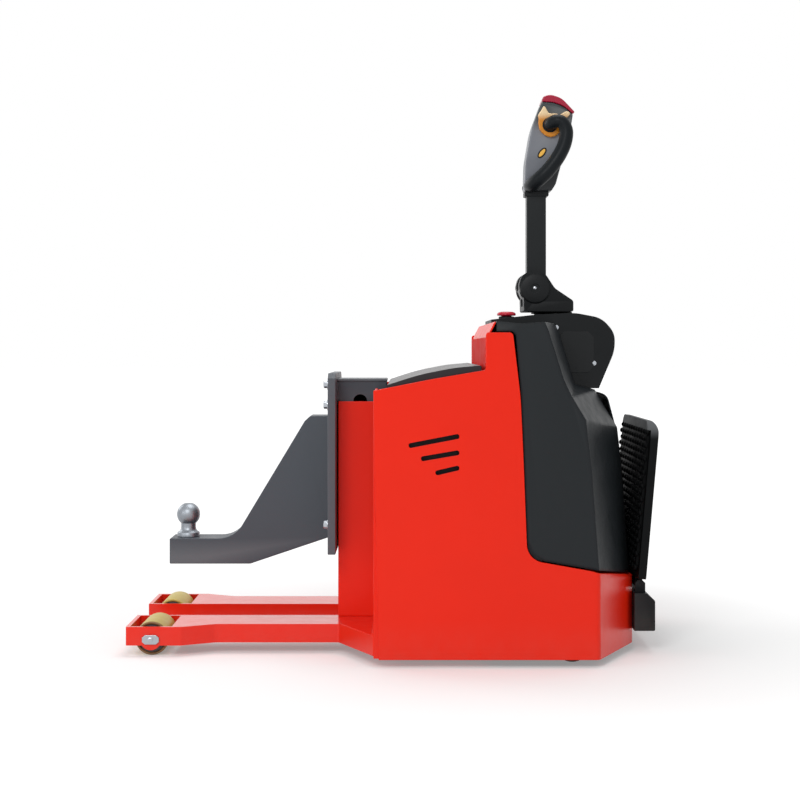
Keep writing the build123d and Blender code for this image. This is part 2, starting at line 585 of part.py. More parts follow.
mat = facing([(-PLATFORM_HALF_WIDTH + 10, 40, 12), (PLATFORM_HALF_WIDTH - 10, 40, 12),
              (PLATFORM_HALF_WIDTH - 10, PLATFORM_TOP - 23, 22),
              (-PLATFORM_HALF_WIDTH + 10, PLATFORM_TOP - 23, 22)], MAT_IN, PLATFORM_IN - 0.2)
save("platform_mat", seat * mat)
block = across([(REAR_X + 0.2, 52, 0), (625, 52, 4), (625, 124, 8), (604, 142, 8),
                (REAR_X + 0.2, 142, 0)], -218, 218)
for y in EARS:
    ear = [(579, 120, 0), (603, 120, 0), (603, PLATFORM_HINGE_Z + 5, 0),
           (596, PLATFORM_HINGE_Z + 12, 0), (586, PLATFORM_HINGE_Z + 12, 0),
           (579, PLATFORM_HINGE_Z + 5, 0)]
    block = block + across(ear, y - 5, y + 5)
save("platform_hinge_block", block)
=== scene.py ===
"""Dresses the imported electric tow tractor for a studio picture.

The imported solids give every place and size. This script rounds their edges, gives each its finish
and adds the fasteners, welds, mat studs, grips and other trim. Tables are in millimetres, and
meshes in metres.
"""

import json
import logging
import math
from dataclasses import dataclass
from enum import Enum
from typing import Any, Sequence

import bmesh
import bpy
from mathutils import Matrix, Vector

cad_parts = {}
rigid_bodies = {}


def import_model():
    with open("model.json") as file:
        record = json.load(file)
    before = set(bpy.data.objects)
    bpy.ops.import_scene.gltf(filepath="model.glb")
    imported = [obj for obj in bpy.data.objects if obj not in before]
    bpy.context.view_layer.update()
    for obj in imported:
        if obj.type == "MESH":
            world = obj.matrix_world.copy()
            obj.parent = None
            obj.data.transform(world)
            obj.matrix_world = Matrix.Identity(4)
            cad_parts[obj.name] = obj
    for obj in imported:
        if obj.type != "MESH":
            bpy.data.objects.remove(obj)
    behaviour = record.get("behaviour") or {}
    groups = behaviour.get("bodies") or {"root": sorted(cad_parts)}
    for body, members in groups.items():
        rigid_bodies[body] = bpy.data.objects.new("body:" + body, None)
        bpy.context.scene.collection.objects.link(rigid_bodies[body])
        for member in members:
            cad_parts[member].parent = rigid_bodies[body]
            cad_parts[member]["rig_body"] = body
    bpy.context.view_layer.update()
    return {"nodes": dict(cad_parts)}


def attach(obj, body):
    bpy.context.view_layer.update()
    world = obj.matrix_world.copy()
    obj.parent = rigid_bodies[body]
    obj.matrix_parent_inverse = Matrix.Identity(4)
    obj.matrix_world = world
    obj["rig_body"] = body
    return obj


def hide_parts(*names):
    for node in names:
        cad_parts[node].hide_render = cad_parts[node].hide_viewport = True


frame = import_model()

LOG = logging.getLogger("tow_tractor")
Rgb = tuple[int, int, int]
Row = tuple[float, float]
Vec = tuple[float, float, float]
Rows = tuple[Row, ...]
Box = tuple[float, float, float, float]
Solids = tuple[tuple[str, str, float, int], ...]
Mesh = bpy.types.Mesh
Node = bpy.types.Node
Socket = bpy.types.NodeSocket
MM = 0.001
MERGE = 1e-6  # metres
FLAT_TURN = math.radians(0.4)
SIDES = (("right", -1), ("left", 1))
COAT_IOR = 1.36
PATCH_SCALE = 6.0
SMEAR_SCALE = 23.0
DUST_SCALE = 38.0
DUST_TOP = 0.11  # metres
DUST: Rgb = (150, 142, 130)
# Pointiness range and lightening share of the painted highlight along sharp edges.
HIGHLIGHT_BENDS = (0.52, 0.62)
HIGHLIGHT_SHARE = 0.45
RELIEF_STRENGTH = 0.6


def linear(colour: Rgb, gain: float = 1.0) -> Box:
    """Turn a screen colour into a linear one.

    Args:
        colour: Red, green and blue from 0 to 255.
        gain: Factor on the linear value.

    Returns:
        Linear red, green, blue and alpha.
    """
    parts = []
    for value in colour:
        part = value / 255
        part = part / 12.92 if part <= 0.04045 else ((part + 0.055) / 1.055) ** 2.4
        parts.append(min(part * gain, 1.0))
    return (parts[0], parts[1], parts[2], 1.0)


class NodeDesk:
    """Adds nodes to one tree and joins them."""

    def __init__(self, tree: bpy.types.NodeTree) -> None:
        """Keep the tree."""
        self.tree = tree

    def add(self, kind: str, inputs: dict[Any, Any] | None = None, **settings: Any) -> Node:
        """Add a node.

        Args:
            kind: The node's type name.
            inputs: Sockets to join, nodes to join by their first output, or values to set, by
                socket name or number.
            settings: Properties of the node itself.

        Returns:
            The new node.
        """
        node = self.tree.nodes.new(kind)
        for key, value in settings.items():
            setattr(node, key, value)
        for key, value in (inputs or {}).items():
            value = value.outputs[0] if isinstance(value, Node) else value
            if isinstance(value, Socket):
                self.tree.links.new(value, node.inputs[key])
            else:
                node.inputs[key].default_value = value
        return node

    def calc(self, operation: str, first: Any, second: Any = 0.0) -> Socket:
        """Add a math node on sockets or values, and return its result."""
        return self.add("ShaderNodeMath", {0: first, 1: second}, operation=operation).outputs[0]

    def blend(self, share: Any, first: Any, second: Any) -> Socket:
        """Add a node that blends two colours, and return the blend."""
        return self.add("ShaderNodeMix", {0: share, 6: first, 7: second}, data_type="RGBA").outputs[2]


class Grain(Enum):
    """Fine relief of a surface: size in millimetres, depth in millimetres and stretch along Z."""

    ORANGE_PEEL = (5.0, 0.035, 1.0)
    MOULDED = (1.6, 0.09, 1.0)
    BRUSHED = (0.9, 0.03, 0.04)
    CAST = (3.2, 0.30, 1.0)
    RUBBER = (2.2, 0.12, 1.0)
    POLISHED = (9.0, 0.01, 1.0)


@dataclass(frozen=True)
class Finish:
    """One finish of the tractor, made of procedural nodes.

    A row of fades is a second colour, a direction, and where along it the blend starts and ends. The
    rounding, in millimetres, softens the light on the edges.
    """

    name: str
    colour: Rgb
    rough: float
    grain: Grain
    metallic: float = 0.0
    coat: float = 0.0
    coat_rough: float = 0.05
    mottle: float = 0.06
    # Strength of the painted highlight along sharp edges.
    dust: float = 0.0
    edge: float = 0.0
    level: float = 0.5
    fades: tuple[tuple[Rgb, Vec, float, float], ...] = ()
    rounding: float = 0.0

    def build(self) -> bpy.types.Material:
        """Make the material with its tone, gloss, dust, painted edge highlight and relief nodes."""
        material = bpy.data.materials.new(self.name)
        material.use_nodes = True
        material.node_tree.nodes.clear()
        desk = NodeDesk(material.node_tree)
        place = desk.add("ShaderNodeTexCoord").outputs["Object"]
        patch = desk.add("ShaderNodeTexNoise", {"Vector": place, "Scale": PATCH_SCALE, "Detail": 5.0})
        tone = desk.blend(patch, linear(self.colour, 1 - self.mottle),
                          linear(self.colour, 1 + self.mottle))
        faded = self._faded(desk, place, tone)
        colour = self._dusted(desk, place, self._edged(desk, faded))
        smear = desk.add("ShaderNodeTexNoise", {"Vector": place, "Scale": SMEAR_SCALE,
                                                "Detail": 6.0, "Roughness": 0.7})
        gloss = desk.add("ShaderNodeMapRange", {0: smear, 1: 0.3, 2: 0.7,
                                                3: self.rough * 0.82, 4: min(self.rough * 1.2, 1.0)})
        shader = desk.add("ShaderNodeBsdfPrincipled", {
            "Base Color": colour, "Roughness": gloss, "Metallic": self.metallic,
            "Coat Weight": self.coat, "Coat Roughness": self.coat_rough, "Coat IOR": COAT_IOR,
            "Specular IOR Level": self.level, "Normal": self._relief(desk, place)})
        desk.add("ShaderNodeOutputMaterial", {"Surface": shader})
        return material

    def _faded(self, desk: NodeDesk, place: Socket, colour: Socket) -> Socket:
        """Blend into each further colour between two places along its direction."""
        for second, way, low, high in self.fades:
            along = desk.add("ShaderNodeVectorMath", {0: place, 1: way}, operation="DOT_PRODUCT")
            share = desk.add("ShaderNodeMapRange", {0: along.outputs["Value"], 1: low, 2: high},
                             interpolation_type="SMOOTHSTEP")
            colour = desk.blend(share, colour, linear(second))
        return colour

    def _edged(self, desk: NodeDesk, colour: Socket) -> Socket:
        """Lighten the edges of a piece where the mesh bends most: a painted highlight along the edges.
        """
        if not self.edge:
            return colour
        bend = desk.add("ShaderNodeNewGeometry").outputs["Pointiness"]
        edge_highlight = desk.add("ShaderNodeMapRange", {0: bend, 1: HIGHLIGHT_BENDS[0], 2: HIGHLIGHT_BENDS[1], 3: 0.0,
                                               4: self.edge})
        light = tuple(int(c + (255 - c) * HIGHLIGHT_SHARE) for c in self.colour)
        return desk.blend(edge_highlight, colour, linear(light))

    def _dusted(self, desk: NodeDesk, place: Socket, colour: Socket) -> Socket:
        """Lay thin floor dust on the lowest part of a piece."""
        if not self.dust:
            return colour
        height = desk.add("ShaderNodeSeparateXYZ", {0: place}).outputs[2]
        low = desk.add("ShaderNodeMapRange", {0: height, 1: 0.0, 2: DUST_TOP, 3: self.dust, 4: 0.0})
        cloud = desk.add("ShaderNodeTexNoise", {"Vector": place, "Scale": DUST_SCALE, "Detail": 7.0})
        return desk.blend(desk.calc("MULTIPLY", low, cloud), colour, linear(DUST))

    def _relief(self, desk: NodeDesk, place: Socket) -> Socket:
        """Return the normal with the fine relief of the grain."""
        size, depth, stretch = self.grain.value
        laid = desk.add("ShaderNodeMapping", {"Vector": place, "Scale": (1.0, 1.0, stretch)})
        noise = desk.add("ShaderNodeTexNoise", {"Vector": laid, "Scale": 1 / (size * MM),
                                                "Detail": 3.0, "Roughness": 0.55})
        bump = desk.add("ShaderNodeBump", {"Height": noise, "Distance": depth * MM,
                                           "Strength": RELIEF_STRENGTH})
        if self.rounding:
            soft = desk.add("ShaderNodeBevel", {"Radius": self.rounding * MM}, samples=6)
            desk.tree.links.new(soft.outputs[0], bump.inputs["Normal"])
        return bump.outputs[0]


FINISHES = (
    Finish("red_paint", (230, 34, 6), 0.36, Grain.ORANGE_PEEL, coat=0.45, coat_rough=0.26,
           mottle=0.04, dust=0.10, level=0.08),
    Finish("red_leg", (230, 32, 6), 0.36, Grain.ORANGE_PEEL, coat=0.9, coat_rough=0.16,
           mottle=0.04, dust=0.10, level=0.08),
    Finish("red_inner", (222, 24, 8), 0.60, Grain.ORANGE_PEEL, mottle=0.04, level=0.05),
    Finish("grey_paint", (70, 75, 82), 0.44, Grain.ORANGE_PEEL, coat=0.08, coat_rough=0.25,
           mottle=0.05, edge=0.25, level=0.2),
    Finish("chassis_black", (16, 18, 20), 0.5, Grain.ORANGE_PEEL, mottle=0.12, dust=0.2, edge=0.2,
           level=0.1),
    Finish("battery_case", (22, 23, 25), 0.55, Grain.ORANGE_PEEL, mottle=0.12, level=0.3),
    Finish("zinc_steel", (176, 180, 186), 0.30, Grain.BRUSHED, metallic=1.0, mottle=0.08),
    Finish("ball_steel", (142, 147, 153), 0.42, Grain.ORANGE_PEEL, metallic=1.0, mottle=0.10),
    Finish("cover_plastic", (24, 28, 31), 0.44, Grain.MOULDED, mottle=0.06, edge=0.12, level=0.18,
           rounding=12.0),
    Finish("console_plastic", (15, 18, 20), 0.42, Grain.MOULDED, mottle=0.07, edge=0.15, level=0.14),
    Finish("lid_plastic", (34, 30, 33), 0.34, Grain.POLISHED, coat=0.1, mottle=0.25, level=0.25),
    Finish("stop_red", (184, 16, 44), 0.30, Grain.POLISHED, coat=0.3, mottle=0.05, level=0.2),
    # platform_black: its grey band at the top is a painted highlight from the light above.
    Finish("platform_black", (12, 14, 15), 0.55, Grain.ORANGE_PEEL, mottle=0.08, edge=0.15, dust=0.05,
           level=0.06, fades=(((92, 94, 96), (0.0, 0.0, 1.0), 0.508, 0.540),)),
    Finish("mat_rubber", (10, 11, 12), 0.60, Grain.RUBBER, mottle=0.12, level=0.06),
    Finish("cast_iron", (66, 68, 72), 0.55, Grain.CAST, mottle=0.12, dust=0.15),
    Finish("drive_tyre", (34, 33, 32), 0.72, Grain.RUBBER, mottle=0.15, dust=0.5),
    Finish("castor_tyre", (58, 44, 38), 0.60, Grain.RUBBER, mottle=0.12, dust=0.5),
    Finish("arm_black", (17, 21, 23), 0.36, Grain.ORANGE_PEEL, coat=0.1, mottle=0.08, edge=0.12,
           level=0.18),
    Finish("head_plastic", (116, 119, 126), 0.34, Grain.MOULDED, mottle=0.08, edge=0.2, level=0.3,
           fades=(((48, 54, 56), (0.0, 0.0, 1.0), 1.262, 1.310),
                  ((28, 32, 35), (0.8227, 0.0, -0.5686), -0.3637, -0.3600))),
    Finish("cap_red", (160, 14, 50), 0.26, Grain.POLISHED, coat=0.3, mottle=0.06, level=0.3),
    Finish("grip_rubber", (20, 24, 27), 0.40, Grain.RUBBER, mottle=0.08, level=0.12),
    # throttle_amber: the cream upper parts of the wings are a painted highlight.
    Finish("throttle_amber", (204, 128, 22), 0.30, Grain.POLISHED, coat=0.25, mottle=0.08,
           level=0.3, fades=(((236, 208, 164), (0.0, 0.0, 1.0), 1.292, 1.314),)),
    # roller_tan: the brown outer flanks are painted shade, standing for the shadow under the legs.
    Finish("roller_tan", (192, 172, 84), 0.46, Grain.RUBBER, mottle=0.10, dust=0.15,
           fades=(((126, 92, 50), (0.0, -1.0, 0.0), 0.2450, 0.2480),
                  ((126, 92, 50), (0.0, 1.0, 0.0), 0.2450, 0.2480))),
    Finish("brass", (206, 160, 74), 0.34, Grain.BRUSHED, metallic=0.9, mottle=0.10),
)


class GeometryTree:
    """A Geometry Nodes tree with named inputs that ends as a plain mesh."""

    def __init__(self, name: str, inputs: Sequence[tuple[str, str, Any]]) -> None:
        """Start the tree.

        Args:
            name: Name of the tree.
            inputs: Rows of input name, socket type and first value.
        """
        self.tree = bpy.data.node_groups.new(name, "GeometryNodeTree")
        face = self.tree.interface
        face.new_socket("Geometry", in_out="INPUT", socket_type="NodeSocketGeometry")
        face.new_socket("Geometry", in_out="OUTPUT", socket_type="NodeSocketGeometry")
        self.keys: dict[str, str] = {}
        for label, kind, first in inputs:
            socket = face.new_socket(label, in_out="INPUT", socket_type=kind)
            socket.default_value = first
            self.keys[label] = socket.identifier
        self.keys["Finish"] = face.new_socket("Finish", in_out="INPUT",
                                              socket_type="NodeSocketMaterial").identifier
        self.desk = NodeDesk(self.tree)
        self.source = self.desk.add("NodeGroupInput").outputs

    def close(self, shape: Node) -> None:
        """End the tree in real geometry with its material.

        Args:
            shape: The node of the finished shape.
        """
        real = self.desk.add("GeometryNodeRealizeInstances", {0: shape})
        done = self.desk.add("GeometryNodeSetMaterial", {0: real, "Material": self.source["Finish"]})
        self.desk.add("NodeGroupOutput", {0: done})

    def grow(self, points: Sequence[Vec], joined: bool, finish: bpy.types.Material,
             girths: Sequence[float] = (), **values: Any) -> Mesh:
        """Run the tree on a few points.

        Args:
            points: Points in millimetres.
            joined: Whether the points are joined to a path.
            finish: The material of the result.
            girths: Thickness at each point as a share of the radius, where the tree reads it.
            values: Values of the named inputs.

        Returns:
            The plain mesh.
        """
        seed = bpy.data.meshes.new(self.tree.name + "_seed")
        edges = [(i, i + 1) for i in range(len(points) - 1)] if joined else []
        seed.from_pydata([(x * MM, y * MM, z * MM) for x, y, z in points], edges, [])
        if girths:
            seed.attributes.new("girth", "FLOAT", "POINT").data.foreach_set("value", girths)
        holder = linked(self.tree.name + "_seed", seed)
        modifier = holder.modifiers.new("tree", "NODES")
        modifier.node_group = self.tree
        for label, value in {**values, "Finish": finish}.items():
            modifier[self.keys[label]] = value
        graph = bpy.context.evaluated_depsgraph_get()
        mesh = bpy.data.meshes.new_from_object(holder.evaluated_get(graph))
        holder.modifiers.remove(modifier)
        bpy.data.objects.remove(holder)
        return mesh


def fastener_tree() -> GeometryTree:
    """Make the tree that sets a hexagon head with its washer on each point."""
    made = GeometryTree("fasteners", (("Radius", "NodeSocketFloat", 0.008),
                                      ("Height", "NodeSocketFloat", 0.006),
                                      ("Sides", "NodeSocketInt", 6),
                                      ("Turn", "NodeSocketVector", (0.0, 0.0, 0.0))))
    desk, source = made.desk, made.source
    stack = desk.add("GeometryNodeJoinGeometry")
    rows = ((1.35, 1.35, 0.16, 0.10, 32), (1.0, 1.0, 0.62, 0.45, None), (1.0, 0.82, 0.14, 0.84, None))
    for low, high, tall, middle, sides in rows:
        wide = desk.calc("MULTIPLY", source["Radius"], low)
        top = desk.calc("MULTIPLY", source["Radius"], high)
        depth = desk.calc("MULTIPLY", source["Height"], tall)
        lift = desk.calc("MULTIPLY", source["Height"], middle - tall / 2)
        cone = desk.add("GeometryNodeMeshCone", {"Vertices": sides or source["Sides"], "Depth": depth,
                                                 "Radius Bottom": wide, "Radius Top": top})
        spot = desk.add("ShaderNodeCombineXYZ", {2: lift})
        moved = desk.add("GeometryNodeTransform", {"Geometry": cone, "Translation": spot})
        made.tree.links.new(moved.outputs[0], stack.inputs[0])
    placed = desk.add("GeometryNodeInstanceOnPoints", {
        "Points": source["Geometry"], "Instance": stack, "Rotation": source["Turn"]})
    made.close(placed)
    return made


def stud_tree() -> GeometryTree:
    """Make the tree that covers a flat mat with staggered rows of low studs."""
    made = GeometryTree("mat_studs", (("Rows", "NodeSocketInt", 20), ("Columns", "NodeSocketInt", 30),
                                      ("Width", "NodeSocketFloat", 0.4),
                                      ("Length", "NodeSocketFloat", 0.3),
                                      ("Radius", "NodeSocketFloat", 0.004),
                                      ("Height", "NodeSocketFloat", 0.002)))
    desk, source = made.desk, made.source
    grid = desk.add("GeometryNodeMeshGrid", {"Size X": source["Length"], "Size Y": source["Width"],
                                             "Vertices X": source["Rows"],
                                             "Vertices Y": source["Columns"]})
    row = desk.calc("DIVIDE", desk.add("GeometryNodeInputIndex"), source["Columns"])
    odd = desk.calc("MODULO", desk.calc("FLOOR", row), 2.0)
    pitch = desk.calc("DIVIDE", source["Width"], source["Columns"])
    slip = desk.calc("MULTIPLY", desk.calc("ADD", odd, -0.5), pitch)
    offset = desk.add("ShaderNodeCombineXYZ", {1: desk.calc("MULTIPLY", slip, 0.5)})
    shifted = desk.add("GeometryNodeSetPosition", {"Geometry": grid, "Offset": offset})
    ball = desk.add("GeometryNodeMeshUVSphere", {"Segments": 16, "Rings": 8,
                                                 "Radius": source["Radius"]})
    flat = desk.calc("DIVIDE", source["Height"], source["Radius"])
    squash = desk.add("ShaderNodeCombineXYZ", {0: 1.0, 1: 1.0, 2: flat})
    dome = desk.add("GeometryNodeTransform", {"Geometry": ball, "Scale": squash})
    stud = desk.add("GeometryNodeSetShadeSmooth", {0: dome})
    placed = desk.add("GeometryNodeInstanceOnPoints", {"Points": shifted, "Instance": stud})
    made.close(placed)
    return made


def bar_tree() -> GeometryTree:
    """Make the tree that draws a smooth round bar through points, with its own girth at each."""
    made = GeometryTree("round_bars", (("Radius", "NodeSocketFloat", 0.01),
                                       ("Steps", "NodeSocketInt", 8)))
    desk, source = made.desk, made.source
    path = desk.add("GeometryNodeMeshToCurve", {0: source["Geometry"]})
    soft = desk.add("GeometryNodeCurveSplineType", {"Curve": path}, spline_type="CATMULL_ROM")
    fine = desk.add("GeometryNodeSetSplineResolution", {0: soft, "Resolution": source["Steps"]})
    girth = desk.add("GeometryNodeInputNamedAttribute", {"Name": "girth"}, data_type="FLOAT")
    ring = desk.add("GeometryNodeCurvePrimitiveCircle", {"Resolution": 28, "Radius": source["Radius"]})
    tube = desk.add("GeometryNodeCurveToMesh", {"Curve": fine, "Profile Curve": ring, "Scale": girth,
                                                "Fill Caps": True})
    smooth = desk.add("GeometryNodeSetShadeSmooth", {0: tube})
    made.close(smooth)
    return made


def weld_tree() -> GeometryTree:
    """Make the tree that lays a rippled weld bead along a path."""
    made = GeometryTree("weld_beads", (("Pitch", "NodeSocketFloat", 0.003),
                                       ("Radius", "NodeSocketFloat", 0.003)))
    desk, source = made.desk, made.source
    path = desk.add("GeometryNodeMeshToCurve", {0: source["Geometry"]})
    points = desk.add("GeometryNodeCurveToPoints", {"Curve": path, "Length": source["Pitch"]},
                      mode="LENGTH")
    drop = desk.add("GeometryNodeMeshIcoSphere", {"Radius": source["Radius"], "Subdivisions": 2})
    wobble = desk.add("FunctionNodeRandomValue", {2: 0.85, 3: 1.15, "Seed": 7})
    placed = desk.add("GeometryNodeInstanceOnPoints", {"Points": points, "Instance": drop,
                                                       "Scale": wobble.outputs[1]})
    smooth = desk.add("GeometryNodeSetShadeSmooth", {0: placed})
    made.close(smooth)
    return made


def linked(name: str, data: bpy.types.ID) -> bpy.types.Object:
    """Make an object of some data and link it to the scene."""
    made = bpy.data.objects.new(name, data)
    bpy.context.scene.collection.objects.link(made)
    return made


def lathe(rows: Sequence[Row], centre: Vec, across: bool, steps: int = 64) -> Mesh:
    """Turn a profile into a closed mesh.

    Args:
        rows: Radius and height in millimetres, from one end of the axis to the other.
        centre: Centre in millimetres.
        across: Whether the axis is Y, and otherwise it is Z.
        steps: Number of steps round.

    Returns:
        The mesh in metres.
    """
    form = bmesh.new()
    rings = []
    for radius, height in rows:
        ring = []
        for step in range(steps):
            angle = 2 * math.pi * step / steps
            flat = (radius * math.cos(angle), radius * math.sin(angle))
            spot = (flat[0], height, flat[1]) if across else (flat[0], flat[1], height)
            ring.append(form.verts.new([(a + b) * MM for a, b in zip(spot, centre)]))
        rings.append(ring)
    for low, high in zip(rings, rings[1:]):
        for i in range(steps):
            form.faces.new((low[i], low[(i + 1) % steps], high[(i + 1) % steps], high[i]))
    return finished(form, merge=True)


def slab(outline: Sequence[Row], low: float, high: float, plan: bool = False) -> Mesh:
    """Make a plate from a side outline or from a plan.

    Args:
        outline: X and Z in millimetres, or X and Y of a plan.
        low: One face in Y, or in Z of a plan.
        high: The other face.
        plan: Whether the outline lies in plan.

    Returns:
        The mesh in metres.
    """
    form = bmesh.new()
    sides = [[form.verts.new(Vector((x, a, face) if plan else (x, face, a)) * MM)
              for x, a in outline] for face in (low, high)]
    form.faces.new(sides[0])
    form.faces.new(sides[1])
    count = len(outline)
    for i in range(count):
        j = (i + 1) % count
        form.faces.new((sides[0][i], sides[0][j], sides[1][j], sides[1][i]))
    return finished(form)


def finished(form: bmesh.types.BMesh, merge: bool = False) -> Mesh:
    """Close a working mesh and return it with its faces outwards.

    Args:
        form: The working mesh, which is freed.
        merge: Whether points that meet are merged first.

    Returns:
        The mesh.
    """
    if merge:
        bmesh.ops.remove_doubles(form, verts=form.verts, dist=MERGE)
        bmesh.ops.holes_fill(form, edges=form.edges)
    bmesh.ops.recalc_face_normals(form, faces=form.faces)
    mesh = bpy.data.meshes.new("form")
    form.to_mesh(mesh)
    form.free()
    return mesh


def softened(mesh: Mesh, width: float, steps: int = 2, angle: float = 32.0) -> Mesh:
    """Round the edges of a mesh.

    Args:
        mesh: The mesh.
        width: Width of the rounding in millimetres.
        steps: Number of steps of the rounding.
        angle: Edges that turn by more than this, in degrees, are rounded.

    Returns:
        A plain mesh with rounded edges and smooth shading.
    """
    holder = linked("softening", mesh)
    mesh.shade_smooth()
    bevel = holder.modifiers.new("round", "BEVEL")
    bevel.width = width * MM
    bevel.segments = steps
    bevel.limit_method = "ANGLE"
    bevel.angle_limit = math.radians(angle)
    bevel.harden_normals = True
    weight = holder.modifiers.new("shade", "WEIGHTED_NORMAL")
    weight.keep_sharp = True
    graph = bpy.context.evaluated_depsgraph_get()
    result = bpy.data.meshes.new_from_object(holder.evaluated_get(graph))
    bpy.data.objects.remove(holder)
    return result


class Workshop:
    """Holds the materials and trees that the sub-assemblies share, and places their pieces."""

    def __init__(self) -> None:
        """Make every finish and tree."""
        self.finish = {one.name: one.build() for one in FINISHES}
        self.fasteners = fastener_tree()
        self.studs = stud_tree()
        self.bars = bar_tree()
        self.welds = weld_tree()

    def place(self, name: str, mesh: Mesh, body: str, finish: str,
              slot: str | None = None) -> bpy.types.Object:
        """Put a finished piece on its body.

        Args:
            name: Name of the piece.
            mesh: Its mesh in metres, already in place.
            body: The body that it rides on.
            finish: Name of its finish.
            slot: The record's material slot, where it isn't the finish's name; not used.

        Returns:
            The piece.
        """
        piece = linked(name, mesh)
        mesh.materials.clear()
        mesh.materials.append(self.finish[finish])
        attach(piece, body)
        LOG.info("%s on %s: %d faces", name, body, len(mesh.polygons))
        return piece

    def dress(self, node: str, finish: str, width: float, steps: int = 2,
              angle: float = 32.0) -> bpy.types.Object:
        """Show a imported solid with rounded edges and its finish.

        Args:
            node: Name of the solid.
            finish: Name of its finish.
            width: Width of the rounding in millimetres.
            steps: Number of steps of the rounding.
            angle: Least turn of an edge that is rounded, in degrees.

        Returns:
            The piece that stands for the solid.
        """
        form = bmesh.new()
        form.from_mesh(frame["nodes"][node].data)
        bmesh.ops.remove_doubles(form, verts=form.verts, dist=2 * MERGE)
        bmesh.ops.dissolve_limit(form, angle_limit=FLAT_TURN, verts=form.verts, edges=form.edges)
        mesh = bpy.data.meshes.new(node)
        form.to_mesh(mesh)
        form.free()
        piece = self.place(node + "_dressed", softened(mesh, width, steps, angle),
                           frame["nodes"][node]["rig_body"], finish)
        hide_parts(node)
        return piece

    def dress_all(self, solids: Solids) -> None:
        """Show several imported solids.

        Args:
            solids: Rows of solid, finish, width and steps of the rounding.
        """
        for row in solids:
            self.dress(*row)

    def bolts(self, name: str, body: str, points: Sequence[Vec], size: Row, turn: Vec,
              sides: int = 6) -> None:
        """Set a bright fastener head on each point.

        Args:
            name: Name of the piece.
            body: The body that it rides on.
            points: Points in millimetres.
            size: Radius and height in millimetres.
            turn: Turn of the heads in radians.
            sides: Number of sides of a head.
        """
        mesh = self.fasteners.grow(points, False, self.finish["zinc_steel"], Radius=size[0] * MM,
                                   Height=size[1] * MM, Sides=sides, Turn=turn)
        self.place(name, mesh, body, "zinc_steel")

    def weld(self, name: str, path: Sequence[Vec], radius: float, finish: str) -> None:
        """Lay a weld bead on the chassis.

        Args:
            name: Name of the piece.
            path: Points in millimetres.
            radius: Radius in millimetres.
            finish: Name of its finish.
        """
        bead = self.welds.grow(path, True, self.finish[finish], Radius=radius * MM)
        self.place(name, bead, "chassis", finish)


